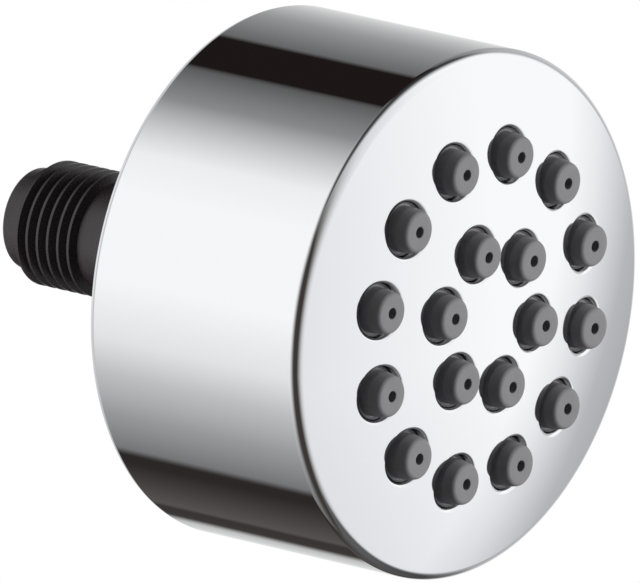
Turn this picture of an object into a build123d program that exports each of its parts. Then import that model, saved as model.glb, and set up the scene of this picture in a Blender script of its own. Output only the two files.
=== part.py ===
from build123d import *
import math
import os

# Shower body jet: a chrome-plated cup that covers a wall outlet and sprays through silicone nozzles.
# Every piece is turned about the Z axis with the spray face up and the wall plane at zero height,
# and is tipped forward once at the end, so that the jets point along -Y and the nipple along +Y.
# All sizes are in millimetres and all angles in degrees.

# Housing: brass cup with a domed face
body_diameter = 50.0
body_length = 25.0
dome_radius = 115.0
face_edge_thickness = 1.6
side_wall = 2.5
front_edge_break = 0.6
rear_edge_break = 0.4

# Nozzle pattern: angles run from +X towards the top, seen from the front
outer_ring_count = 12
outer_ring_radius = 15.35
outer_ring_start = 15.0
inner_ring_count = 6
inner_ring_radius = 6.85
inner_ring_start = -15.0

# Silicone nozzles and the lipped holes that they stand in
nozzle_diameter = 3.8
nozzle_tip_break = 0.4
nozzle_reach = 1.4
collar_diameter = 4.3
collar_drop = 1.2
nozzle_gap = 0.45
boss_drop = 2.7
boss_clearance = 0.1
hole_lip = 0.35
orifice_diameter = 1.05
orifice_length = 1.2
feed_diameter = 2.4

# Silicone mat behind the face
mat_thickness = 1.2
mat_bead_width = 2.2
mat_bead_depth = 2.2
mat_edge_clearance = 0.3

# Distributor plate behind the mat
plate_rim_thickness = 1.4
plate_edge_clearance = 0.2

# Inlet moulding: rim, web, ribs and hub
inlet_edge_clearance = 0.2
inlet_rim_wall = 3.3
chamber_depth = 2.5
web_thickness = 2.5
rib_count = 4
rib_start = 45.0
rib_thickness = 1.8
rib_inset = 0.8
hub_wall = 1.9
hub_inset = 1.0
hub_chamfer = 1.2

# Inlet moulding: threaded nipple, lengths counted back from the wall plane
inlet_bore = 7.0
neck_wall = 1.5
neck_length = 17.8
thread_diameter = 12.0
thread_pitch = 1.25
thread_length = 8.0
pilot_wall = 0.85
pilot_length = 1.6
pilot_chamfer = 0.3

# Keys that stop the inlet moulding from turning in the housing
key_count = 2
key_start = 45.0
key_width = 4.0
key_height = 1.0
key_length = 4.0
key_clearance = 0.15

# Rubber ring, drawn squeezed in its groove
seal_section = 2.5
seal_squeeze = 0.35
seal_side_room = 0.35
seal_land = 4.0

# Spring ring in the housing's groove
ring_thickness = 1.75
ring_width = 3.4
ring_offset = 0.7
ring_inset = 1.6
ring_gap = 7.0
ring_lug_radius = 2.7
ring_lug_hole = 2.5
ring_groove_depth = 1.25
ring_groove_clearance = 0.1

# Flow limiter cartridge in the hub
limiter_diameter = 11.0
limiter_length = 6.5
limiter_clearance = 0.1
limiter_wall = 0.9
limiter_floor = 2.0
limiter_post_diameter = 4.2
limiter_port_count = 6
limiter_port_diameter = 1.4
limiter_ring_width = 1.8
limiter_ring_thickness = 1.6

# Strainer in the nipple's mouth
strainer_step = 0.5
strainer_length = 1.7
strainer_clearance = 0.05
strainer_wall = 0.75
strainer_bar_count = 4
strainer_bar_width = 0.7
strainer_bar_depth = 0.8
mesh_thickness = 0.3
mesh_ledge = 0.35
mesh_hole = 0.5
mesh_pitch = 0.8
mesh_border = 0.4

# Clearance between faces that rest on each other
seat = 0.05

# Thread depth over pitch for a metric external thread
METRIC_DEPTH = 0.6134

# Radii of the housing, its spray holes, and the domed face's height at a distance from the axis
body_radius = body_diameter / 2
bore_radius = body_radius - side_wall
hole_diameter = collar_diameter + 2 * nozzle_gap
dome_centre = body_length - math.sqrt(dome_radius**2 - body_radius**2)


def dome_height(distance):
    """Height of the domed face above the wall plane."""
    return dome_centre + math.sqrt(dome_radius**2 - distance**2)


# Places along the axis, from the face back to the wall
dome_top = dome_height(0)
face_inside = dome_height(bore_radius) - face_edge_thickness
mat_radius = bore_radius - mat_edge_clearance
mat_front = face_inside - seat
mat_back = mat_front - mat_thickness
bead_inner_radius = mat_radius - mat_bead_width
bead_back = mat_front - mat_bead_depth
plate_front = mat_back - seat
plate_step_radius = bead_inner_radius - plate_edge_clearance
plate_rim_front = bead_back - seat
plate_back = plate_rim_front - plate_rim_thickness
inlet_front = plate_back - seat
web_front = inlet_front - chamber_depth
web_back = web_front - web_thickness
ring_groove_width = ring_thickness + ring_groove_clearance
inlet_back = ring_inset + ring_groove_width

# Radii of the inlet moulding and of what sits in it
inlet_radius = bore_radius - inlet_edge_clearance
inlet_inner_radius = inlet_radius - inlet_rim_wall
limiter_radius = limiter_diameter / 2
limiter_seat_radius = limiter_radius + limiter_clearance
hub_radius = limiter_seat_radius + hub_wall
limiter_front = web_front - seat
limiter_back = limiter_front - limiter_length
inlet_bore_radius = inlet_bore / 2
neck_radius = inlet_bore_radius + neck_wall
strainer_seat_radius = inlet_bore_radius + strainer_step
pilot_radius = strainer_seat_radius + pilot_wall
thread_radius = thread_diameter / 2
thread_depth = METRIC_DEPTH * thread_pitch
thread_root_radius = thread_radius - thread_depth
thread_start = -neck_length
thread_end = thread_start - thread_length
nipple_end = thread_end - pilot_length
seal_height = seal_section - seal_squeeze
seal_floor_radius = bore_radius - seal_height
seal_groove_width = seal_section + 2 * seal_side_room
seal_middle = inlet_front - seal_land - seal_groove_width / 2


def turned(*points):
    """Solid turned about the axis from an outline of radius and height."""
    return revolve(Plane.XZ * make_face(Polyline(*points, close=True)), Axis.Z)


def drilled(diameter, bottom, top):
    """Round bar on the axis between two heights."""
    return Pos(0, 0, bottom) * Cylinder(diameter / 2, top - bottom, align=(Align.CENTER, Align.CENTER, Align.MIN))


def bar(length, width, bottom, top):
    """Flat bar that runs out from the axis along +X."""
    return Pos(0, 0, bottom) * Box(length, width, top - bottom, align=(Align.MIN, Align.CENTER, Align.MIN))


def nozzle_spots():
    """Centre of every nozzle: its place across the face and its distance from the axis."""
    outer = PolarLocations(outer_ring_radius, outer_ring_count, outer_ring_start, rotate=False)
    inner = PolarLocations(inner_ring_radius, inner_ring_count, inner_ring_start, rotate=False)
    return [(spot, outer_ring_radius) for spot in outer] + [(spot, inner_ring_radius) for spot in inner]


def round_edges(solid, radius, height):
    """Circular edges of one radius at one height."""
    circles = solid.edges().filter_by(GeomType.CIRCLE)
    return circles.filter_by(lambda edge: math.isclose(edge.radius, radius, abs_tol=1e-4)
                             and math.isclose(edge.arc_center.Z, height, abs_tol=1e-4))


def housing():
    """Domed cup with lipped spray holes, a spring ring groove and slots for the keys."""
    ball = Pos(0, 0, dome_centre) * Rot(90, 0, 0) * Sphere(dome_radius)
    cup = drilled(body_diameter, 0, dome_top) & ball
    cup -= drilled(2 * bore_radius, 0, face_inside)
    cup = chamfer(round_edges(cup, body_radius, body_length), front_edge_break)
    cup = chamfer(round_edges(cup, body_radius, 0), rear_edge_break)

    cup -= [spot * drilled(hole_diameter, face_inside, dome_top) for spot, _ in nozzle_spots()]
    face = cup.faces().filter_by(GeomType.SPHERE).sort_by(SortBy.AREA)[-1]
    lips = [edge for wire in face.inner_wires() for edge in wire.edges()]
    cup = chamfer(lips, hole_lip)

    cup -= drilled(2 * (bore_radius + ring_groove_depth), ring_inset, inlet_back)
    slot_top = inlet_back + key_length + key_clearance
    slot = bar(inlet_radius + key_height + key_clearance, key_width + 2 * key_clearance, 0, slot_top)
    cup -= PolarLocations(0, key_count, key_start) * slot
    return cup


def nozzle(distance):
    """Nozzle with a broken tip edge, on a wider collar and a boss that fills the foot of its hole."""
    tip = dome_height(distance) + nozzle_reach
    boss = drilled(hole_diameter - 2 * boss_clearance, mat_back, tip - boss_drop)
    collar = drilled(collar_diameter, mat_back, tip - collar_drop)
    post = boss + collar + drilled(nozzle_diameter, mat_back, tip)
    return chamfer(round_edges(post, nozzle_diameter / 2, tip), nozzle_tip_break)


def nozzle_passage(distance):
    """Water way of one nozzle: a wide feed that ends in the orifice."""
    tip = dome_height(distance) + nozzle_reach
    return drilled(feed_diameter, mat_back, tip - orifice_length) + drilled(orifice_diameter, mat_back, tip)


def nozzle_mat():
    """Silicone sheet with a sealing bead round its back edge and all the nozzles on its front."""
    mat = turned((0, mat_back), (bead_inner_radius, mat_back), (bead_inner_radius, bead_back),
                 (mat_radius, bead_back), (mat_radius, mat_front), (0, mat_front))
    mat += [spot * nozzle(distance) for spot, distance in nozzle_spots()]
    mat -= [spot * nozzle_passage(distance) for spot, distance in nozzle_spots()]
    return mat


def distributor_plate():
    """Stepped disc that fills the bead and backs the mat, with one feed hole behind each nozzle."""
    plate = turned((0, plate_back), (mat_radius, plate_back), (mat_radius, plate_rim_front),
                   (plate_step_radius, plate_rim_front), (plate_step_radius, plate_front), (0, plate_front))
    plate -= [spot * drilled(feed_diameter, plate_back, plate_front) for spot, _ in nozzle_spots()]
    return plate


def inlet_body():
    """Black moulding: a ribbed cup that closes the housing, with the threaded nipple on its back."""
    rim = turned((inlet_inner_radius, inlet_back), (inlet_radius, inlet_back),
                 (inlet_radius, inlet_front), (inlet_inner_radius, inlet_front))
    web = drilled(2 * (inlet_radius - inlet_rim_wall / 2), web_back, web_front)
    hub = drilled(2 * hub_radius, hub_inset, web_front)
    neck = drilled(2 * neck_radius, thread_start, hub_inset)
    hub = chamfer(round_edges(hub + neck, neck_radius, hub_inset), hub_chamfer)
    rib = bar(inlet_radius - inlet_rim_wall / 2, rib_thickness, inlet_back + rib_inset, web_front)
    key = bar(inlet_radius + key_height, key_width, inlet_back, inlet_back + key_length)
    key -= drilled(2 * (inlet_radius - inlet_rim_wall / 2), inlet_back, inlet_back + key_length)
    thread = turned((0, thread_start), (thread_root_radius, thread_start),
                    (thread_radius, thread_start - thread_depth), (thread_radius, thread_end + thread_depth),
                    (thread_root_radius, thread_end), (0, thread_end))
    pilot = drilled(2 * pilot_radius, nipple_end, thread_end)
    pilot = chamfer(round_edges(pilot, pilot_radius, nipple_end), pilot_chamfer)

    body = rim + web + hub + thread + pilot
    body += PolarLocations(0, rib_count, rib_start) * rib
    body += PolarLocations(0, key_count, key_start) * key

    half_groove = seal_groove_width / 2
    body -= turned((seal_floor_radius, seal_middle - half_groove), (bore_radius, seal_middle - half_groove),
                   (bore_radius, seal_middle + half_groove), (seal_floor_radius, seal_middle + half_groove))
    body -= drilled(inlet_bore, nipple_end, web_front)
    body -= drilled(2 * limiter_seat_radius, limiter_back - seat, web_front)
    body -= drilled(2 * strainer_seat_radius, nipple_end, nipple_end + strainer_length + seat)
    return body


def housing_seal():
    """Square-cut rubber ring, squeezed between the groove's floor and the bore."""
    half_width = seal_section**2 / seal_height / 2
    return turned((seal_floor_radius + seat, seal_middle - half_width), (bore_radius - seat, seal_middle - half_width),
                  (bore_radius - seat, seal_middle + half_width), (seal_floor_radius + seat, seal_middle + half_width))


def retaining_ring():
    """Internal spring ring, wider opposite its gap, with two lugs that have plier holes."""
    outer_radius = bore_radius + ring_groove_depth - ring_groove_clearance
    inner_radius = outer_radius - ring_width
    lug_distance = inner_radius + ring_lug_hole / 2 - ring_lug_radius / 2
    lug_angle = math.degrees(math.asin((ring_gap / 2 + ring_lug_radius) / lug_distance))
    lug_spots = [Rot(0, 0, side * lug_angle) * Pos(0, -lug_distance) for side in (-1, 1)]
    outline = Circle(outer_radius) - Pos(0, -ring_offset) * Circle(inner_radius)
    outline += [spot * Circle(ring_lug_radius) for spot in lug_spots]
    outline -= Pos(0, -outer_radius) * Rectangle(ring_gap, 2 * ring_width + 2 * ring_lug_radius)
    outline -= [spot * Circle(ring_lug_hole / 2) for spot in lug_spots]
    return Pos(0, 0, ring_inset + ring_groove_clearance / 2) * extrude(outline, ring_thickness)


def flow_limiter_body():
    """Cartridge with a post in an annular channel and a ring of ports in its floor."""
    wall_radius = limiter_radius - limiter_wall
    post_radius = limiter_post_diameter / 2
    floor_back = limiter_front - limiter_floor
    body = turned((0, limiter_back), (post_radius, limiter_back), (post_radius, floor_back),
                  (wall_radius, floor_back), (wall_radius, limiter_back), (limiter_radius, limiter_back),
                  (limiter_radius, limiter_front), (0, limiter_front))
    port = drilled(limiter_port_diameter, floor_back, limiter_front)
    body -= PolarLocations((wall_radius + post_radius) / 2, limiter_port_count) * port
    return body


def flow_limiter_ring():
    """Flat rubber ring that lies over the ports."""
    middle = (limiter_radius - limiter_wall + limiter_post_diameter / 2) / 2
    inner_radius = middle - limiter_ring_width / 2
    outer_radius = middle + limiter_ring_width / 2
    top = limiter_front - limiter_floor - seat
    bottom = top - limiter_ring_thickness
    return turned((inner_radius, bottom), (outer_radius, bottom), (outer_radius, top), (inner_radius, top))


def strainer_frame():
    """Ring with a cross bar, with a ledge for the mesh at its outer end."""
    outer_radius = strainer_seat_radius - strainer_clearance
    inner_radius = outer_radius - strainer_wall
    top = nipple_end + strainer_length
    ledge = nipple_end + mesh_thickness + seat
    frame = turned((inner_radius, ledge), (inner_radius + mesh_ledge, ledge),
                   (inner_radius + mesh_ledge, nipple_end), (outer_radius, nipple_end),
                   (outer_radius, top), (inner_radius, top))
    arm = bar(inner_radius + strainer_wall / 2, strainer_bar_width, ledge, ledge + strainer_bar_depth)
    frame += PolarLocations(0, strainer_bar_count) * arm
    return frame


def strainer_mesh():
    """Thin disc with a square grid of fine holes."""
    mesh_radius = strainer_seat_radius - strainer_clearance - strainer_wall + mesh_ledge - strainer_clearance
    disc = drilled(2 * mesh_radius, nipple_end, nipple_end + mesh_thickness)
    across = 2 * math.floor(mesh_radius / mesh_pitch) + 1
    reach = mesh_radius - mesh_border - mesh_hole / math.sqrt(2)
    hole = Pos(0, 0, nipple_end) * Box(mesh_hole, mesh_hole, 4 * mesh_thickness)
    grid = [spot for spot in GridLocations(mesh_pitch, mesh_pitch, across, across) if spot.position.length <= reach]
    disc -= [spot * hole for spot in grid]
    return disc


pieces = {
    "housing": housing(),
    "nozzle_mat": nozzle_mat(),
    "distributor_plate": distributor_plate(),
    "inlet_body": inlet_body(),
    "housing_seal": housing_seal(),
    "retaining_ring": retaining_ring(),
    "flow_limiter_body": flow_limiter_body(),
    "flow_limiter_ring": flow_limiter_ring(),
    "strainer_frame": strainer_frame(),
    "strainer_mesh": strainer_mesh(),
}

os.makedirs("parts", exist_ok=True)
for node, piece in pieces.items():
    export_step(Rot(90, 0, 0) * piece, f"parts/{node}.step")
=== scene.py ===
import math

import bmesh
import bpy
from mathutils import Matrix, Vector
from mathutils.geometry import delaunay_2d_cdt
from mathutils.kdtree import KDTree


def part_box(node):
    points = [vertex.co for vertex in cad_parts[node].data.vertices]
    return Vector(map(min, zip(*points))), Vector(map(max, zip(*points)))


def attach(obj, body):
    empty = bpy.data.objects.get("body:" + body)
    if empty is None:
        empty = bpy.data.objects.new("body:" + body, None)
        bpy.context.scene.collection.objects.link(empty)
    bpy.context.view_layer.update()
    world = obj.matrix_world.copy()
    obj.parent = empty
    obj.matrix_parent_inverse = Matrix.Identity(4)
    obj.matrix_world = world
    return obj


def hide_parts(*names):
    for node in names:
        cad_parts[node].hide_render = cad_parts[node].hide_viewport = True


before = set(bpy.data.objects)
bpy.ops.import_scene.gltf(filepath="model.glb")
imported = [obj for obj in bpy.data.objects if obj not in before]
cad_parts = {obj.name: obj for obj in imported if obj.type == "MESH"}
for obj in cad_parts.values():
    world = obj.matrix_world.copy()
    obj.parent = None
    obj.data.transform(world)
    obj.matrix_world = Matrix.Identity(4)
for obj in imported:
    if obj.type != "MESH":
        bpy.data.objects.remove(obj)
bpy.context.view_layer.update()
scene = bpy.context.scene

# Lengths are in millimetres and become metres when a point is placed. A radius is measured from the
# fitting's axis, a height from the wall towards the spray face, and an angle from +X towards the top.
MM = 0.001
MERGE = 0.001 * MM


def reach(node):
    """Largest radius, back height and front height of a CAD node."""
    low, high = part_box(node)
    return high.x / MM, -high.y / MM, -low.y / MM


# Sizes read from the frame
body_radius, _, dome_top = reach("housing")
mat_radius, bead_back, _ = reach("nozzle_mat")
_, _, plate_front = reach("distributor_plate")
inlet_radius, nipple_end, inlet_front = reach("inlet_body")
_, ring_back, ring_front = reach("retaining_ring")
limiter_radius, limiter_back, _ = reach("flow_limiter_body")
strainer_radius, _, strainer_front = reach("strainer_frame")
seal_radius, seal_back, seal_front = reach("housing_seal")

# Clearance between faces that rest on each other
seat = 0.05

# Housing
dome_radius = 115.0
side_wall = 2.5
front_edge_round = 1.1
rear_edge_round = 0.8
groove_clearance = 0.1
ring_groove_depth = 1.25
key_slot_width = 4.3
key_slot_depth = 0.95
key_slot_reach = 7.6

# Nozzle pattern: count, distance from the axis and angle of the first nozzle
outer_ring = (12, 15.35, 15.0)
inner_ring = (6, 6.85, -15.0)

# Nozzles and the lipped holes that they stand in
nozzle_diameter = 3.8
nozzle_reach = 1.4
nozzle_shoulder = 0.4
collar_diameter = 4.3
collar_drop = 1.2
collar_edge = 0.12
nozzle_gap = 0.45
boss_drop = 2.7
boss_rise = 0.7
boss_clearance = 0.1
hole_lip = 0.35
orifice_diameter = 1.05
orifice_length = 1.2
orifice_edge = 0.08
feed_diameter = 2.4

# Silicone mat
mat_thickness = 1.2
mat_bead_width = 2.2
mat_edge_round = 0.3

# Inlet moulding
inlet_rim_wall = 3.3
chamber_depth = 2.5
web_thickness = 2.5
hub_wall = 1.9
hub_inset = 1.0
hub_chamfer = 1.2
inlet_bore = 7.0
neck_wall = 1.5
neck_rise = 4.0
thread_diameter = 12.0
thread_pitch = 1.25
thread_length = 8.0
thread_crest = 0.28
thread_base = 1.1
thread_sink = 0.05
thread_first = 5.0
pilot_wall = 0.85
pilot_length = 1.6
moulded_edge = 0.25
mouth_edge = 0.1
seal_groove_depth = 2.1
seal_room = 0.15
rib_count = 4
rib_start = 45.0
rib_thickness = 1.8
rib_inset = 0.8
rib_root = 0.5
key_count = 2
key_start = 45.0
key_width = 4.0
key_height = 1.0
key_length = 4.0

# Depth of a metric thread for each millimetre of its pitch, the share of the ridge's length that fades out
# at each end, and the share of its section that is left there
thread_depth_per_pitch = 0.6134
ridge_fade = 0.04
ridge_tip = 0.02

# How far a bar reaches into what it joins, or past what it cuts
bar_overlap = 1.0

# Fineness of the meshes: facets round a turned surface and round a nozzle, steps along a rounded edge,
# segments of a bar's edge, points in a turn of the thread, and spacing of the points in a sheet
BODY_FACETS = 288
NOZZLE_FACETS = 48
EDGE_STEPS = 8
BEVEL_SEGMENTS = 3
RIDGE_POINTS = 96
SHEET_SPACING = 1.1

# Share of a hole's radius inside which a sheet has no triangle, and the least spacing of a sheet's points
HOLE_SHARE = 0.999
SHEET_TOLERANCE = 1e-6

# Angle in degrees above which an edge stays sharp, and how near a point lies to a surface that it is on
SHARP_ANGLE = 32.0
TOUCH = 0.002

# Places worked out from the sizes
bore_radius = body_radius - side_wall
dome_centre = dome_top - dome_radius
hole_radius = collar_diameter / 2 + nozzle_gap
boss_radius = hole_radius - boss_clearance
mat_back = plate_front + seat
mat_front = mat_back + mat_thickness
face_inside = mat_front + seat
groove_radius = bore_radius + ring_groove_depth
inlet_back = ring_front + groove_clearance / 2
inlet_inner_radius = inlet_radius - inlet_rim_wall
web_front = inlet_front - chamber_depth
web_back = web_front - web_thickness
limiter_seat_radius = limiter_radius + 2 * seat
hub_radius = limiter_seat_radius + hub_wall
bore_half = inlet_bore / 2
neck_radius = bore_half + neck_wall
strainer_seat_radius = strainer_radius + seat
pilot_radius = strainer_seat_radius + pilot_wall
thread_end = nipple_end + pilot_length
thread_start = thread_end + thread_length
thread_depth = thread_depth_per_pitch * thread_pitch
thread_root_radius = thread_diameter / 2 - thread_depth
seal_floor_radius = seal_radius - seal_groove_depth
front_roll = Vector((
    body_radius - front_edge_round,
    dome_centre + math.sqrt((dome_radius - front_edge_round)**2 - (body_radius - front_edge_round)**2)))
rear_roll = Vector((body_radius - rear_edge_round, rear_edge_round))


def place(across, up, height):
    """Point in metres from its place across the face, up the face and in front of the wall."""
    return Vector((across, -height, up)) * MM


def dome_height(distance):
    """Height of the domed face at a distance from the axis."""
    return dome_centre + math.sqrt(dome_radius**2 - distance**2)


def circle(centre, radius, facets):
    """Points round a circle on the face, with the first one on the line from the axis."""
    first = math.atan2(centre.y, centre.x)
    turns = [first + math.tau * index / facets for index in range(facets)]
    return [centre + Vector((math.cos(turn), math.sin(turn))) * radius for turn in turns]


def nozzle_spots():
    """Centre of every nozzle across the face."""
    spots = []
    for count, distance, start in (outer_ring, inner_ring):
        for index in range(count):
            turn = math.radians(start) + math.tau * index / count
            spots.append(Vector((math.cos(turn), math.sin(turn))) * distance)
    return spots


def rounded(*corners):
    """Outline of radius and height in which each corner has an edge radius of its own, drawn as an arc."""
    outline = []
    for index, (radius, height, edge) in enumerate(corners):
        corner = Vector((radius, height))
        if not edge:
            outline.append(corner)
            continue
        before = (Vector(corners[index - 1][:2]) - corner).normalized()
        after = (Vector(corners[(index + 1) % len(corners)][:2]) - corner).normalized()
        half = before.angle(after) / 2
        centre = corner + (before + after).normalized() * edge / math.sin(half)
        start = corner + before * edge / math.tan(half) - centre
        sweep = start.angle_signed(corner + after * edge / math.tan(half) - centre)
        for step in range(EDGE_STEPS + 1):
            outline.append(centre + Matrix.Rotation(-sweep * step / EDGE_STEPS, 2) @ start)
    return outline


def spin(form, outline, facets, centre=Vector((0, 0)), closed=False):
    """Adds the surface that an outline sweeps about an axis at a centre on the face."""
    rows = []
    for radius, height in outline:
        ring = circle(centre, radius, facets)
        rows.append([form.verts.new(place(spot.x, spot.y, height)) for spot in ring])
    ends = rows[1:] + rows[:1] if closed else rows[1:]
    for row, following in zip(rows, ends):
        for index in range(facets):
            beside = (index + 1) % facets
            form.faces.new((row[index], row[beside], following[beside], following[index]))


def sheet(form, rim, holes, height_at):
    """Adds a triangulated sheet inside a rim, with a ring of points round each hole's centre."""
    points = []
    edges = []
    for ring in [rim] + [ring for _, ring in holes]:
        first = len(points)
        points += ring
        edges += [(first + index, first + (index + 1) % len(ring)) for index in range(len(ring))]
    bounds = [(centre, max((point - centre).length for point in ring)) for centre, ring in holes]
    for step in range(1, int(rim[0].length / SHEET_SPACING)):
        for spot in circle(Vector((0, 0)), step * SHEET_SPACING, round(math.tau * step)):
            if all((spot - centre).length > limit + SHEET_SPACING / 2 for centre, limit in bounds):
                points.append(spot)
    corners, _, triangles, *_ = delaunay_2d_cdt(points, edges, [], 0, SHEET_TOLERANCE)
    verts = [form.verts.new(place(corner.x, corner.y, height_at(corner.length))) for corner in corners]
    for triangle in triangles:
        middle = sum((corners[index] for index in triangle), Vector((0, 0))) / 3
        if all((middle - centre).length > HOLE_SHARE * limit for centre, limit in bounds):
            form.faces.new([verts[index] for index in triangle])


def block(form, inner, outer, width, back, front, edge):
    """Adds a bar with rounded edges that runs out along +X between two radii and two heights."""
    made = bmesh.ops.create_cube(form, size=1)["verts"]
    size = Vector((outer - inner, front - back, width)) * MM
    middle = place((inner + outer) / 2, 0, (back + front) / 2)
    bmesh.ops.transform(form, matrix=Matrix.Translation(middle) @ Matrix.Diagonal(size).to_4x4(), verts=made)
    if edge:
        edges = list({side for vert in made for side in vert.link_edges})
        bmesh.ops.bevel(
            form, geom=edges, offset=edge * MM, segments=BEVEL_SEGMENTS, profile=0.5, affect="EDGES")


def closed_mesh(form, name):
    """Plain mesh of a form with its seams merged and its faces turned outwards."""
    bmesh.ops.remove_doubles(form, verts=form.verts, dist=MERGE)
    bmesh.ops.recalc_face_normals(form, faces=form.faces)
    mesh = bpy.data.meshes.new(name)
    form.to_mesh(mesh)
    form.free()
    return mesh


def evaluated(item):
    """Plain mesh of an object with its modifiers applied; the object itself goes."""
    graph = bpy.context.evaluated_depsgraph_get()
    mesh = bpy.data.meshes.new_from_object(item.evaluated_get(graph))
    bpy.data.objects.remove(item)
    return mesh


def helper(name, mesh):
    """Object in the scene for a mesh."""
    item = bpy.data.objects.new(name, mesh)
    scene.collection.objects.link(item)
    return item


def combined(mesh, tool_mesh, operation):
    """Mesh after a tool has been joined to it or cut from it."""
    base = helper("base", mesh)
    tool = helper("tool", tool_mesh)
    step = base.modifiers.new("combined", "BOOLEAN")
    step.operation = operation
    step.object = tool
    step.solver = "EXACT"
    result = evaluated(base)
    bpy.data.objects.remove(tool)
    return result


def add(tree, kind, inputs=None, **settings):
    """Adds a node, makes its settings and fills its inputs with values or links."""
    node = tree.nodes.new(kind)
    for name, value in settings.items():
        setattr(node, name, value)
    for name, value in (inputs or {}).items():
        if isinstance(value, bpy.types.NodeSocket):
            tree.links.new(value, node.inputs[name])
        else:
            node.inputs[name].default_value = value
    return node


def linear(code):
    """Linear colour with alpha from an sRGB hex code."""
    parts = [int(code[index:index + 2], 16) / 255 for index in (1, 3, 5)]
    return [part / 12.92 if part <= 0.04045 else ((part + 0.055) / 1.055)**2.4 for part in parts] + [1.0]


def per_size(size):
    """Texture scale at which one cell of a pattern is this many millimetres."""
    return 1 / (size * MM)


def new_material(name):
    """Material with its node tree, its shader and the piece's own coordinates."""
    material = bpy.data.materials.new(name)
    material.use_nodes = True
    tree = material.node_tree
    coordinates = add(tree, "ShaderNodeTexCoord").outputs["Object"]
    return material, tree, tree.nodes["Principled BSDF"], coordinates


def polished_chrome_plate():
    """Chrome plate on buffed brass: a cool mirror with a slow haze left by the buffing wheel."""
    material, tree, shader, coordinates = new_material("polished_chrome_plate")
    haze = add(tree, "ShaderNodeTexNoise", {"Vector": coordinates, "Scale": per_size(6.0), "Detail": 4.0})
    roughness = add(tree, "ShaderNodeMapRange", {
        "Value": haze.outputs["Fac"], "From Min": 0.35, "From Max": 0.65, "To Min": 0.02, "To Max": 0.04})
    peel = add(tree, "ShaderNodeTexNoise", {"Vector": coordinates, "Scale": per_size(2.5), "Detail": 2.0})
    bump = add(tree, "ShaderNodeBump", {
        "Height": peel.outputs["Fac"], "Strength": 0.04, "Distance": 0.02 * MM})
    shader.inputs["Base Color"].default_value = linear("#f3f4f6")
    shader.inputs["Metallic"].default_value = 1.0
    tree.links.new(roughness.outputs["Result"], shader.inputs["Roughness"])
    tree.links.new(bump.outputs["Normal"], shader.inputs["Normal"])
    return material


# How far the grain takes a moulded surface's roughness up and down
GLOSS_SPREAD = 0.06


def mottled(name, pale, dark, patch, roughness, grain, grain_height):
    """Moulded material: two close tones in soft patches, with a fine grain that breaks up the gloss."""
    material, tree, shader, coordinates = new_material(name)
    patches = add(tree, "ShaderNodeTexNoise", {
        "Vector": coordinates, "Scale": per_size(patch), "Detail": 5.0})
    tone = add(tree, "ShaderNodeMix", {
        "Factor": patches.outputs["Fac"], "A": linear(dark), "B": linear(pale)}, data_type="RGBA")
    speckle = add(tree, "ShaderNodeTexNoise", {
        "Vector": coordinates, "Scale": per_size(grain), "Detail": 3.0})
    gloss = add(tree, "ShaderNodeMapRange", {
        "Value": speckle.outputs["Fac"], "From Min": 0.3, "From Max": 0.7,
        "To Min": roughness - GLOSS_SPREAD, "To Max": roughness + GLOSS_SPREAD})
    bump = add(tree, "ShaderNodeBump", {
        "Height": speckle.outputs["Fac"], "Strength": 0.5, "Distance": grain_height * MM})
    tree.links.new(tone.outputs["Result"], shader.inputs["Base Color"])
    tree.links.new(gloss.outputs["Result"], shader.inputs["Roughness"])
    tree.links.new(bump.outputs["Normal"], shader.inputs["Normal"])
    return material, shader


def moulded_silicone():
    """Grey silicone from a spark-eroded mould: matt and even, with a fine grain."""
    material, shader = mottled(
        "moulded_grey_silicone", pale="#8e8d90", dark="#868588", patch=1.5, roughness=0.55,
        grain=0.22, grain_height=0.01)
    shader.inputs["IOR"].default_value = 1.41
    return material


def glass_filled_nylon():
    """Black glass-filled nylon: a warm near-black with a low gloss and faint fibre speckle."""
    material, shader = mottled(
        "moulded_glass_filled_nylon", pale="#4c4345", dark="#423a3c", patch=0.8, roughness=0.28,
        grain=0.15, grain_height=0.008)
    shader.inputs["IOR"].default_value = 1.53
    return material


def moulded_acetal():
    """White acetal: a milky satin plastic that lets a little light in."""
    material, shader = mottled(
        "moulded_white_acetal", pale="#ecebe6", dark="#e2e1dc", patch=2.0, roughness=0.38,
        grain=0.3, grain_height=0.006)
    shader.inputs["Subsurface Weight"].default_value = 0.15
    shader.inputs["Subsurface Radius"].default_value = (0.6 * MM, 0.5 * MM, 0.4 * MM)
    return material


def pressed_rubber():
    """Black nitrile rubber: dull and even, with a bloom of paler patches."""
    material, _ = mottled(
        "pressed_nitrile_rubber", pale="#2a2a2b", dark="#1c1c1d", patch=1.2, roughness=0.62,
        grain=0.25, grain_height=0.012)
    return material


def stamped_spring_steel():
    """Stainless spring steel as stamped and tumbled: grey metal with a dull, scratched sheen."""
    material, tree, shader, coordinates = new_material("stamped_spring_steel")
    stretch = add(tree, "ShaderNodeMapping", {"Vector": coordinates, "Scale": (1.0, 1.0, 6.0)})
    scratches = add(tree, "ShaderNodeTexNoise", {
        "Vector": stretch.outputs["Vector"], "Scale": per_size(0.6), "Detail": 6.0})
    tone = add(tree, "ShaderNodeMix", {
        "Factor": scratches.outputs["Fac"], "A": linear("#a9aaad"), "B": linear("#c6c7ca")}, data_type="RGBA")
    roughness = add(tree, "ShaderNodeMapRange", {
        "Value": scratches.outputs["Fac"], "From Min": 0.3, "From Max": 0.7, "To Min": 0.24, "To Max": 0.42})
    bump = add(tree, "ShaderNodeBump", {
        "Height": scratches.outputs["Fac"], "Strength": 0.4, "Distance": 0.01 * MM})
    shader.inputs["Metallic"].default_value = 1.0
    tree.links.new(tone.outputs["Result"], shader.inputs["Base Color"])
    tree.links.new(roughness.outputs["Result"], shader.inputs["Roughness"])
    tree.links.new(bump.outputs["Normal"], shader.inputs["Normal"])
    return material


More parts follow.
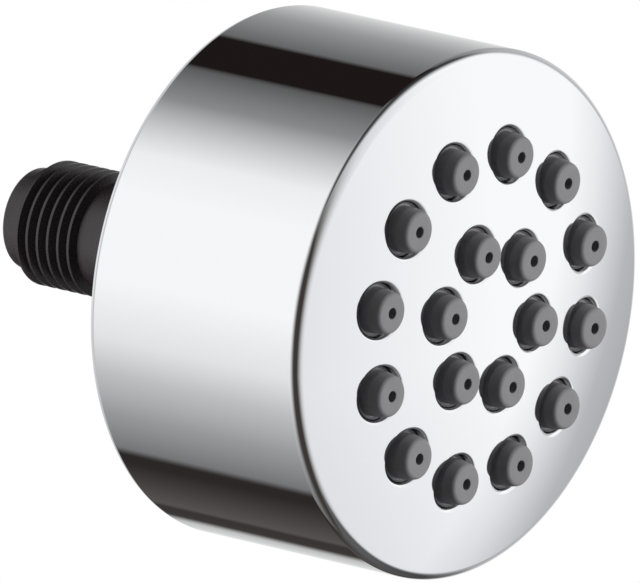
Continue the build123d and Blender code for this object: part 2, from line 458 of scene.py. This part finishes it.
def new_tree(name, inputs):
    """Geometry Nodes tree with named inputs, and its group input node."""
    tree = bpy.data.node_groups.new(name, "GeometryNodeTree")
    for label, kind in inputs:
        tree.interface.new_socket(label, in_out="INPUT", socket_type=kind)
    tree.interface.new_socket("Geometry", in_out="OUTPUT", socket_type="NodeSocketGeometry")
    return tree, add(tree, "NodeGroupInput").outputs


def copies_round_axis():
    """Tree that repeats a mesh about the fitting's axis, from a start angle."""
    tree, given = new_tree("copies_round_axis", (
        ("Geometry", "NodeSocketGeometry"), ("Count", "NodeSocketInt"),
        ("Start", "NodeSocketFloat"), ("Material", "NodeSocketMaterial")))
    spots = add(tree, "GeometryNodePoints", {"Count": given["Count"]})
    step = add(tree, "ShaderNodeMath", {0: math.tau, 1: given["Count"]}, operation="DIVIDE")
    index = add(tree, "GeometryNodeInputIndex")
    angle = add(tree, "ShaderNodeMath", {
        0: index.outputs["Index"], 1: step.outputs["Value"], 2: given["Start"]}, operation="MULTIPLY_ADD")
    turn = add(tree, "ShaderNodeMath", {0: angle.outputs["Value"], 1: -1.0}, operation="MULTIPLY")
    about = add(tree, "ShaderNodeCombineXYZ", {"Y": turn.outputs["Value"]})
    rotation = add(tree, "FunctionNodeEulerToRotation", {"Euler": about.outputs["Vector"]})
    copies = add(tree, "GeometryNodeInstanceOnPoints", {
        "Points": spots.outputs[0], "Instance": given["Geometry"], "Rotation": rotation.outputs["Rotation"]})
    solid = add(tree, "GeometryNodeRealizeInstances", {"Geometry": copies.outputs["Instances"]})
    finish = add(tree, "GeometryNodeSetMaterial", {
        "Geometry": solid.outputs["Geometry"], "Material": given["Material"]})
    add(tree, "NodeGroupOutput", {"Geometry": finish.outputs["Geometry"]})
    return tree


def grown(mesh, tree, **inputs):
    """Plain mesh of a Geometry Nodes tree on a seed mesh, with its named inputs set."""
    seed = helper("seed", mesh)
    step = seed.modifiers.new(tree.name, "NODES")
    step.node_group = tree
    for socket in tree.interface.items_tree:
        if socket.in_out == "INPUT" and socket.name in inputs:
            step[socket.identifier] = inputs[socket.name]
    return evaluated(seed)


def repeated(build, count, start, material):
    """Plain mesh of a form repeated about the axis; build adds the form to an empty mesh."""
    form = bmesh.new()
    build(form)
    seed = closed_mesh(form, "repeated")
    return grown(seed, around, Count=count, Start=math.radians(start), Material=material)


def piece(name, mesh, material, node, normals=None):
    """Finished piece that stands for a CAD node, smooth apart from its sharp edges."""
    mesh.materials.clear()
    mesh.materials.append(material)
    mesh.shade_smooth()
    mesh.set_sharp_from_angle(angle=math.radians(SHARP_ANGLE))
    if normals:
        mesh.normals_split_custom_set([normals[loop.vertex_index] for loop in mesh.loops])
    else:
        item = helper(name, mesh)
        item.modifiers.new("even_shading", "WEIGHTED_NORMAL").keep_sharp = True
        mesh = evaluated(item)
    mesh.name = name
    item = helper(name, mesh)
    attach(item, "root")
    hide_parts(node)


def lipped_hole(form, centre):
    """Adds the wall and the rolled lip of one spray hole; returns the lip's points and directions."""
    top = Vector((0, 0, dome_centre))
    rows = [[] for _ in range(EDGE_STEPS + 1)]
    wall_end = []
    for wall_spot in circle(centre, hole_radius, NOZZLE_FACETS):
        outward = (wall_spot - centre).normalized()
        spot = centre + outward * (hole_radius + hole_lip)
        roll = Vector((spot.x, spot.y,
                       dome_centre + math.sqrt((dome_radius - hole_lip)**2 - spot.length_squared)))
        to_dome = (roll - top).normalized()
        to_wall = Vector((-outward.x, -outward.y, 0))
        for step in range(EDGE_STEPS + 1):
            direction = to_dome.slerp(to_wall, step / EDGE_STEPS)
            rows[step].append((roll + direction * hole_lip, direction))
        wall_end.append(Vector((wall_spot.x, wall_spot.y, face_inside)))
    points = [[point for point, _ in row] for row in rows] + [wall_end]
    verts = [[form.verts.new(place(point.x, point.y, point.z)) for point in row] for row in points]
    for row, following in zip(verts, verts[1:]):
        for index in range(NOZZLE_FACETS):
            beside = (index + 1) % NOZZLE_FACETS
            form.faces.new((row[index], row[beside], following[beside], following[index]))
    return rows


def polished_normals(mesh, rolled):
    """Outward directions at the corners on the dome, the lips and the round edges; zero elsewhere."""
    lips = KDTree(len(rolled))
    for index, (point, _) in enumerate(rolled):
        lips.insert(point, index)
    lips.balance()
    normals = []
    for vertex in mesh.vertices:
        point = Vector((vertex.co.x, vertex.co.z, -vertex.co.y)) / MM
        profile = Vector((point.xy.length, point.z))
        from_dome = point - Vector((0, 0, dome_centre))
        direction = Vector((0, 0, 0))
        _, nearest, distance = lips.find(point)
        if distance < TOUCH:
            direction = rolled[nearest][1]
        elif abs(from_dome.length - dome_radius) < TOUCH and point.z > front_roll.y:
            direction = from_dome
        else:
            for roll, edge in ((front_roll, front_edge_round), (rear_roll, rear_edge_round)):
                offset = profile - roll
                if abs(offset.length - edge) < TOUCH and offset.x > -TOUCH:
                    share = offset.x / profile.x
                    direction = Vector((point.x * share, point.y * share, offset.y))
        normals.append(Vector((direction.x, -direction.z, direction.y)).normalized())
    return normals


def housing_shell():
    """Chrome cup and its normals: domed face with lipped holes, round edges and a grooved bore."""
    form = bmesh.new()
    lean = math.atan2(front_roll.y - dome_centre, front_roll.x)
    front_edge = []
    for step in range(2 * EDGE_STEPS + 1):
        turn = lean * (1 - step / (2 * EDGE_STEPS))
        front_edge.append(front_roll + Vector((math.cos(turn), math.sin(turn))) * front_edge_round)
    groove_back = ring_back - groove_clearance / 2
    inside = rounded(
        (body_radius, front_roll.y, 0), (body_radius, 0, rear_edge_round), (bore_radius, 0, 0),
        (bore_radius, groove_back, 0), (groove_radius, groove_back, 0),
        (groove_radius, inlet_back, 0), (bore_radius, inlet_back, 0), (bore_radius, face_inside, 0))
    spin(form, front_edge + inside[1:], BODY_FACETS)

    spots = nozzle_spots()
    rolls = [lipped_hole(form, spot) for spot in spots]
    lips = [(spot, [point.xy for point, _ in roll[0]]) for spot, roll in zip(spots, rolls)]
    sheet(form, circle(Vector((0, 0)), front_edge[0].x, BODY_FACETS), lips, dome_height)
    walls = [(spot, circle(spot, hole_radius, NOZZLE_FACETS)) for spot in spots]
    sheet(form, circle(Vector((0, 0)), bore_radius, BODY_FACETS), walls, lambda distance: face_inside)
    cup = closed_mesh(form, "housing_shell")

    slots = repeated(
        lambda slot: block(slot, bore_radius - bar_overlap, bore_radius + key_slot_depth, key_slot_width,
                           -bar_overlap, key_slot_reach, 0),
        key_count, key_start, chrome)
    cup = combined(cup, slots, "DIFFERENCE")
    return cup, polished_normals(cup, [entry for roll in rolls for row in roll for entry in row])


def nozzle_tube(form, distance):
    """Adds one nozzle at a distance from the axis: its boss, collar and tip, the orifice and the feed."""
    tip = dome_height(distance) + nozzle_reach
    step = tip - collar_drop
    foot = tip - boss_drop
    orifice = orifice_diameter / 2
    feed = feed_diameter / 2
    outline = rounded(
        (boss_radius, mat_front, 0), (boss_radius, foot + boss_rise, 0),
        (collar_diameter / 2, foot, collar_edge), (collar_diameter / 2, step, collar_edge),
        (nozzle_diameter / 2, tip, nozzle_shoulder),
        (orifice, tip, orifice_edge), (orifice, tip - orifice_length, 0),
        (feed, tip - orifice_length, 0), (feed, mat_back, 0))
    spin(form, outline, NOZZLE_FACETS, Vector((distance, 0)))


def silicone_mat():
    """Sheet with a sealing bead and eighteen nozzles, in one skin."""
    form = bmesh.new()
    bead_radius = mat_radius - mat_bead_width
    bead = rounded(
        (mat_radius, mat_front, 0), (mat_radius, bead_back, mat_edge_round),
        (bead_radius, bead_back, mat_edge_round), (bead_radius, mat_back, 0))
    spin(form, bead, BODY_FACETS)
    faces = ((mat_front, mat_radius, boss_radius), (mat_back, bead_radius, feed_diameter / 2))
    for height, rim, radius in faces:
        holes = [(spot, circle(spot, radius, NOZZLE_FACETS)) for spot in nozzle_spots()]
        sheet(form, circle(Vector((0, 0)), rim, BODY_FACETS), holes, lambda distance: height)
    for count, distance, start in (outer_ring, inner_ring):
        form.from_mesh(repeated(lambda tube: nozzle_tube(tube, distance), count, start, silicone))
    return closed_mesh(form, "silicone_mat")


def thread_ridge():
    """Tree for the ridge of the thread: a trapezoid swept along a helix, fading out at both ends."""
    tree, given = new_tree("thread_ridge", (
        ("Geometry", "NodeSocketGeometry"), ("Root", "NodeSocketFloat"), ("Turns", "NodeSocketFloat"),
        ("Length", "NodeSocketFloat"), ("Depth", "NodeSocketFloat"), ("Base", "NodeSocketFloat"),
        ("Crest", "NodeSocketFloat"), ("Material", "NodeSocketMaterial")))
    helix = add(tree, "GeometryNodeCurveSpiral", {
        "Resolution": RIDGE_POINTS, "Rotations": given["Turns"], "Start Radius": given["Root"],
        "End Radius": given["Root"], "Height": given["Length"]})
    upright = add(tree, "GeometryNodeSetCurveNormal", {"Curve": helix.outputs["Curve"]}, mode="Z_UP")
    along = add(tree, "GeometryNodeSplineParameter")
    centred = add(tree, "ShaderNodeMath", {0: along.outputs["Factor"], 1: 0.5}, operation="SUBTRACT")
    from_middle = add(tree, "ShaderNodeMath", {0: centred.outputs["Value"]}, operation="ABSOLUTE")
    fade = add(tree, "ShaderNodeMapRange", {
        "Value": from_middle.outputs["Value"], "From Min": 0.5, "From Max": 0.5 - ridge_fade,
        "To Min": ridge_tip, "To Max": 1.0})
    tapered = add(tree, "GeometryNodeSetCurveRadius", {
        "Curve": upright.outputs["Curve"], "Radius": fade.outputs["Result"]})
    section = add(tree, "GeometryNodeCurvePrimitiveQuadrilateral", {
        "Height": given["Depth"], "Bottom Width": given["Base"], "Top Width": given["Crest"], "Offset": 0.0},
        mode="TRAPEZOID")
    half = add(tree, "ShaderNodeMath", {0: given["Depth"], 1: 0.5}, operation="MULTIPLY")
    lift = add(tree, "ShaderNodeCombineXYZ", {"Y": half.outputs["Value"]})
    raised = add(tree, "GeometryNodeTransform", {
        "Geometry": section.outputs["Curve"], "Translation": lift.outputs["Vector"]})
    turned = add(tree, "GeometryNodeTransform", {
        "Geometry": raised.outputs["Geometry"], "Rotation": (0.0, 0.0, math.radians(90))})
    ridge = add(tree, "GeometryNodeCurveToMesh", {
        "Curve": tapered.outputs["Curve"], "Profile Curve": turned.outputs["Geometry"], "Fill Caps": True})
    solid = add(tree, "GeometryNodeRealizeInstances", {"Geometry": ridge.outputs["Mesh"]})
    finish = add(tree, "GeometryNodeSetMaterial", {
        "Geometry": solid.outputs["Geometry"], "Material": given["Material"]})
    add(tree, "NodeGroupOutput", {"Geometry": finish.outputs["Geometry"]})
    return tree


def inlet_moulding():
    """Black moulding: ribbed cup with its seal groove and keys, and the threaded nipple."""
    form = bmesh.new()
    groove_back = seal_back - seal_room
    groove_front = seal_front + seal_room
    edge = moulded_edge
    spin(form, rounded(
        (bore_half, limiter_back - seat, 0), (limiter_seat_radius, limiter_back - seat, 0),
        (limiter_seat_radius, web_front, edge), (inlet_inner_radius, web_front, edge),
        (inlet_inner_radius, inlet_front, edge), (inlet_radius, inlet_front, edge),
        (inlet_radius, groove_front, edge), (seal_floor_radius, groove_front, edge),
        (seal_floor_radius, groove_back, edge), (inlet_radius, groove_back, edge),
        (inlet_radius, inlet_back, edge), (inlet_inner_radius, inlet_back, edge),
        (inlet_inner_radius, web_back, 2 * edge), (hub_radius, web_back, 2 * edge),
        (hub_radius, hub_inset, edge), (neck_radius + hub_chamfer, hub_inset, edge),
        (neck_radius, hub_inset - hub_chamfer, edge), (neck_radius, thread_start + neck_rise, edge),
        (thread_root_radius, thread_start, 0), (thread_root_radius, thread_end, 0),
        (pilot_radius, thread_end, 0), (pilot_radius, nipple_end, edge),
        (strainer_seat_radius, nipple_end, mouth_edge), (strainer_seat_radius, strainer_front + seat, 0),
        (bore_half, strainer_front + seat, 0)), BODY_FACETS // 2, closed=True)
    body = closed_mesh(form, "inlet_moulding")

    ribs = repeated(
        lambda rib: block(rib, hub_radius - rib_root, inlet_inner_radius + bar_overlap, rib_thickness,
                          inlet_back + rib_inset, web_back + bar_overlap, edge),
        rib_count, rib_start, nylon)
    keys = repeated(
        lambda key: block(key, inlet_radius - bar_overlap, inlet_radius + key_height, key_width,
                          inlet_back, inlet_back + key_length, edge),
        key_count, key_start, nylon)
    body = combined(combined(body, ribs, "UNION"), keys, "UNION")

    turns = int(thread_length / thread_pitch)
    ridge = grown(
        bpy.data.meshes.new("ridge"), thread_ridge(), Root=(thread_root_radius - thread_sink) * MM,
        Turns=turns, Length=turns * thread_pitch * MM, Depth=(thread_depth + thread_sink) * MM,
        Base=thread_base * MM, Crest=thread_crest * MM, Material=nylon)
    ridge.transform(Matrix.Translation(place(0, 0, thread_start)) @ Matrix.Rotation(math.radians(-90), 4, "X")
                    @ Matrix.Rotation(math.radians(-thread_first), 4, "Z"))
    form = bmesh.new()
    form.from_mesh(body)
    form.from_mesh(ridge)
    return closed_mesh(form, "inlet_moulding")


# Finishes
chrome = polished_chrome_plate()
silicone = moulded_silicone()
nylon = glass_filled_nylon()
acetal = moulded_acetal()
rubber = pressed_rubber()
steel = stamped_spring_steel()
around = copies_round_axis()

# Pieces that stand for CAD nodes
shell, shell_normals = housing_shell()
piece("housing_shell", shell, chrome, "housing", shell_normals)
piece("silicone_mat", silicone_mat(), silicone, "nozzle_mat")
piece("inlet_moulding", inlet_moulding(), nylon, "inlet_body")

# CAD nodes that keep their own shape
for name, finish in (
        ("distributor_plate", acetal), ("flow_limiter_body", acetal), ("strainer_frame", acetal),
        ("housing_seal", rubber), ("flow_limiter_ring", rubber),
        ("retaining_ring", steel), ("strainer_mesh", steel)):
    node_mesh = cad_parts[name].data
    node_mesh.materials.clear()
    node_mesh.materials.append(finish)

# Camera: the angles and the distance in millimetres that it looks at the origin from, and how far right of
# the origin and above it the middle of the picture lies
PICTURE_WIDTH = 640
SENSOR_WIDTH = 36.0
view_azimuth = math.radians(-50.31)
view_elevation = math.radians(15.75)
view_distance = 2400.0
pixels_per_mm = 10.745
aim_right = 5.563
aim_up = -2.126

right = Vector((math.cos(view_azimuth), math.sin(view_azimuth), 0))
back = Vector((math.sin(view_azimuth) * math.cos(view_elevation),
               -math.cos(view_azimuth) * math.cos(view_elevation), math.sin(view_elevation)))
up = back.cross(right)
lens = bpy.data.cameras.new("camera")
lens.sensor_width = SENSOR_WIDTH
lens.lens = pixels_per_mm * view_distance / PICTURE_WIDTH * SENSOR_WIDTH
camera = bpy.data.objects.new("camera", lens)
scene.collection.objects.link(camera)
stand = back * view_distance
towards = stand - right * aim_right - up * aim_up
camera.matrix_world = Matrix.Translation(stand * MM) @ towards.to_track_quat("Z", "Y").to_matrix().to_4x4()
scene.camera = camera

# Studio, as the chrome reflects it: the level of its light, and the shade of each panel and flag. Where a
# panel lies is the X, Y or Z of a direction of length one, and -Y is in front of the spray face.
TENT_LEVEL = 1.08

# Tent round the fitting's axis: angle in degrees from +X towards the top, and the shade there, at the edges and
# turning points of the right panel, the upper flag, the left panel, the lower flag and the panel below on the
# right. The two black flags give the chrome its dark bands.
TENT = (
    (0, "#c8c8c8"), (25, "#959595"), (49.8, "#656565"),
    (51.3, "#1d1717"), (73.2, "#1d1717"),
    (75.2, "#5a5a5a"), (94, "#8a8a8a"), (112, "#d4d4d4"), (122, "#efefef"), (140, "#f8f8f8"),
    (178, "#f8f8f8"), (204, "#e4e4e4"), (220, "#c0c0c0"), (240, "#999999"), (258.8, "#767676"),
    (262.3, "#2c2827"), (268, "#2c2827"), (296.5, "#565250"), (299.8, "#383433"), (309, "#3c3836"),
    (315.8, "#bebebe"), (338, "#e6e6e6"), (360, "#c8c8c8"))

# Turn of the tent towards its front, and the Y at which the turn ends and the tent alone shows. The tent
# starts to show at the first Y, and at the second by the upper of two heights.
TENT_TURN = math.radians(7)
TENT_FULL = 0.55
TENT_START = (-0.3, 0.2)
TENT_START_HEIGHTS = (0.5, 1.0)

# Panel in front of the spray face, from the dark side of the camera at -X to the white end at +X. Below one
# height and above another its shades slide sideways, by so much for each unit of height.
FRONT_PANEL = (
    (-0.68, "#3c3836"), (-0.45, "#8a8886"), (-0.18, "#bfbfc0"), (0.15, "#dcdcde"), (0.4, "#e4e4e6"),
    (0.75, "#fbfbfb"))
LOW_SLIDE_START = -0.3
LOW_SLIDE = -0.9
HIGH_SLIDE_START = 0.2
HIGH_SLIDE = 0.3

# Shade over Y that dims the front panel's white end between two places along X, and its lean over the height
FRONT_SHADE = (
    (-0.43, "#ffffff"), (-0.35, "#eeeeef"), (-0.22, "#bbbbbd"), (-0.15, "#b0b0b2"), (0.2, "#d0d0d2"))
FRONT_SHADE_ENDS = (0.3, 0.6)
FRONT_SHADE_LEAN = -0.21

# Flag below the front panel, over Z, and the flag above it, over Y, which sets in between two heights
LOWER_FLAG = ((-0.79, "#5a5a5a"), (-0.72, "#9c9c9c"), (-0.68, "#b8b8b8"), (-0.63, "#ffffff"))
UPPER_FLAG = (
    (-0.5, "#ffffff"), (-0.35, "#d2d2d2"), (-0.18, "#a6a6a6"), (-0.05, "#666666"), (0.1, "#383838"))
UPPER_FLAG_HEIGHTS = (0.45, 0.75)

# Grey panel behind the fitting, over Y, and where it takes over from the tent
BACK_PANEL = ((0.6, "#b2b3b6"), (0.85, "#c4c5c8"), (0.95, "#d0d1d3"), (1.0, "#f4f4f5"))
BACK_PANEL_ENDS = (0.65, 0.75)


def ramp(tree, factor, stops, low=-1, high=1):
    """Colour ramp over a range of values."""
    share = add(tree, "ShaderNodeMapRange", {"Value": factor, "From Min": low, "From Max": high})
    item = add(tree, "ShaderNodeValToRGB", {"Fac": share.outputs["Result"]})
    elements = item.color_ramp.elements
    elements.remove(elements[1])
    for index, (value, code) in enumerate(stops):
        position = (value - low) / (high - low)
        element = elements[0] if index == 0 else elements.new(position)
        element.position = position
        element.color = linear(code)
    return item.outputs["Color"]


def tent_sides(tree, x, y, z):
    """Shade of the tent round the fitting's axis."""
    angle = add(tree, "ShaderNodeMath", {0: z, 1: x}, operation="ARCTAN2")
    flare = add(tree, "ShaderNodeMapRange", {
        "Value": y, "From Min": 0.0, "From Max": TENT_FULL, "To Min": TENT_TURN, "To Max": 0.0},
        interpolation_type="SMOOTHSTEP")
    turned = add(tree, "ShaderNodeMath", {
        0: angle.outputs["Value"], 1: flare.outputs["Result"]}, operation="SUBTRACT")
    whole = add(tree, "ShaderNodeMath", {
        0: turned.outputs["Value"], 1: math.tau, 2: 0.0}, operation="WRAP")
    degrees = add(tree, "ShaderNodeMath", {0: whole.outputs["Value"]}, operation="DEGREES")
    return ramp(tree, degrees.outputs["Value"], TENT, 0, 360)


def front_panel(tree, x, y, z):
    """Shade of the panel in front of the spray face, with its flags and its dimmed end."""
    low = add(tree, "ShaderNodeMath", {0: z, 1: -1.0, 2: LOW_SLIDE_START}, operation="MULTIPLY_ADD")
    below = add(tree, "ShaderNodeMath", {0: low.outputs["Value"], 1: 0.0}, operation="MAXIMUM")
    lowered = add(tree, "ShaderNodeMath", {
        0: below.outputs["Value"], 1: LOW_SLIDE, 2: x}, operation="MULTIPLY_ADD")
    high = add(tree, "ShaderNodeMath", {0: z, 1: HIGH_SLIDE_START}, operation="SUBTRACT")
    above = add(tree, "ShaderNodeMath", {0: high.outputs["Value"], 1: 0.0}, operation="MAXIMUM")
    across = add(tree, "ShaderNodeMath", {
        0: above.outputs["Value"], 1: HIGH_SLIDE, 2: lowered.outputs["Value"]}, operation="MULTIPLY_ADD")
    lit = ramp(tree, across.outputs["Value"], FRONT_PANEL)

    cut_below = add(tree, "ShaderNodeMix", {
        "Factor": 1.0, "A": lit, "B": ramp(tree, z, LOWER_FLAG)}, data_type="RGBA", blend_type="DARKEN")
    upper_part = add(tree, "ShaderNodeMapRange", {
        "Value": z, "From Min": UPPER_FLAG_HEIGHTS[0], "From Max": UPPER_FLAG_HEIGHTS[1]},
        interpolation_type="SMOOTHSTEP")
    cut_above = add(tree, "ShaderNodeMix", {
        "Factor": upper_part.outputs["Result"], "A": cut_below.outputs["Result"],
        "B": ramp(tree, y, UPPER_FLAG)}, data_type="RGBA", blend_type="DARKEN")

    slant = add(tree, "ShaderNodeMath", {0: z, 1: FRONT_SHADE_LEAN, 2: y}, operation="MULTIPLY_ADD")
    white_end = add(tree, "ShaderNodeMapRange", {
        "Value": x, "From Min": FRONT_SHADE_ENDS[0], "From Max": FRONT_SHADE_ENDS[1]})
    dimmed = add(tree, "ShaderNodeMix", {
        "Factor": white_end.outputs["Result"], "A": cut_above.outputs["Result"],
        "B": ramp(tree, slant.outputs["Value"], FRONT_SHADE)}, data_type="RGBA", blend_type="MULTIPLY")
    return dimmed.outputs["Result"]


def studio_world():
    """White to the camera, and the tent's panels and flags to everything else."""
    world = bpy.data.worlds.new("studio")
    world.use_nodes = True
    scene.world = world
    tree = world.node_tree
    tree.nodes.clear()
    direction = add(tree, "ShaderNodeTexCoord").outputs["Generated"]
    x, y, z = add(tree, "ShaderNodeSeparateXYZ", {"Vector": direction}).outputs
    tent_start = add(tree, "ShaderNodeMapRange", {
        "Value": z, "From Min": TENT_START_HEIGHTS[0], "From Max": TENT_START_HEIGHTS[1],
        "To Min": TENT_START[0], "To Max": TENT_START[1]})
    behind = add(tree, "ShaderNodeMapRange", {
        "Value": y, "From Min": tent_start.outputs["Result"], "From Max": TENT_FULL},
        interpolation_type="SMOOTHSTEP")
    tent = add(tree, "ShaderNodeMix", {
        "Factor": behind.outputs["Result"], "A": front_panel(tree, x, y, z),
        "B": tent_sides(tree, x, y, z)}, data_type="RGBA")
    far = add(tree, "ShaderNodeMapRange", {
        "Value": y, "From Min": BACK_PANEL_ENDS[0], "From Max": BACK_PANEL_ENDS[1]},
        interpolation_type="SMOOTHSTEP")
    closed = add(tree, "ShaderNodeMix", {
        "Factor": far.outputs["Result"], "A": tent.outputs["Result"],
        "B": ramp(tree, y, BACK_PANEL)}, data_type="RGBA")
    tent_light = add(tree, "ShaderNodeBackground", {
        "Color": closed.outputs["Result"], "Strength": TENT_LEVEL})
    white = add(tree, "ShaderNodeBackground", {"Color": linear("#ffffff"), "Strength": 1.0})
    path = add(tree, "ShaderNodeLightPath")
    choice = add(tree, "ShaderNodeMixShader", {
        "Fac": path.outputs["Is Camera Ray"],
        1: tent_light.outputs["Background"], 2: white.outputs["Background"]})
    add(tree, "ShaderNodeOutputWorld", {"Surface": choice.outputs["Shader"]})


def studio_floor():
    """Pale floor well below the fitting, which is fixed to a wall; its sizes are in metres."""
    half = 6.0
    height = -0.6
    form = bmesh.new()
    corners = ((-half, -half), (half, -half), (half, half), (-half, half))
    form.faces.new([form.verts.new((across, along, height)) for across, along in corners])
    floor = helper("studio_floor", closed_mesh(form, "studio_floor"))
    floor.visible_glossy = False
    floor.visible_diffuse = False
    material = bpy.data.materials.new("white_paper_floor")
    material.use_nodes = True
    tree = material.node_tree
    paper = tree.nodes["Principled BSDF"]
    paper.inputs["Base Color"].default_value = linear("#f2f2f2")
    paper.inputs["Roughness"].default_value = 0.9
    white = add(tree, "ShaderNodeEmission", {"Color": linear("#ffffff"), "Strength": 1.0})
    path = add(tree, "ShaderNodeLightPath")
    choice = add(tree, "ShaderNodeMixShader", {
        "Fac": path.outputs["Is Camera Ray"], 1: paper.outputs["BSDF"], 2: white.outputs["Emission"]})
    tree.links.new(choice.outputs["Shader"], tree.nodes["Material Output"].inputs["Surface"])
    floor.data.materials.append(material)


def black_flags():
    """Unseen black screens, sized in metres, that keep light from the left and above off the face."""
    left = -0.35
    top = 0.6
    front = -1.2
    tall = 0.8
    wide = 0.6
    form = bmesh.new()
    for corners in (
            ((left, front, -tall), (left, 0, -tall), (left, 0, tall), (left, front, tall)),
            ((-wide, front, top), (wide, front, top), (wide, 0, top), (-wide, 0, top))):
        form.faces.new([form.verts.new(corner) for corner in corners])
    flags = helper("black_flags", closed_mesh(form, "black_flags"))
    flags.visible_camera = False
    flags.visible_glossy = False
    material = bpy.data.materials.new("black_flag_cloth")
    material.use_nodes = True
    cloth = material.node_tree.nodes["Principled BSDF"]
    cloth.inputs["Base Color"].default_value = linear("#101010")
    cloth.inputs["Roughness"].default_value = 1.0
    flags.data.materials.append(material)


def soft_lamp(name, direction, distance, size, power):
    """Square lamp that shines on the fitting and doesn't show in the chrome, in metres and watts."""
    lamp = bpy.data.lights.new(name, "AREA")
    lamp.size = size
    lamp.energy = power
    item = bpy.data.objects.new(name, lamp)
    scene.collection.objects.link(item)
    towards = Vector(direction).normalized()
    turn = towards.to_track_quat("Z", "Y").to_matrix().to_4x4()
    item.matrix_world = Matrix.Translation(towards * distance) @ turn
    item.visible_glossy = False


studio_world()
studio_floor()
black_flags()
soft_lamp("front_lamp", direction=(0.38, -0.8, 0.05), distance=0.8, size=0.5, power=4.05)
soft_lamp("back_lamp", direction=(-0.7, 0.5, -0.3), distance=0.8, size=0.5, power=1.5)

scene.view_settings.view_transform = "Standard"
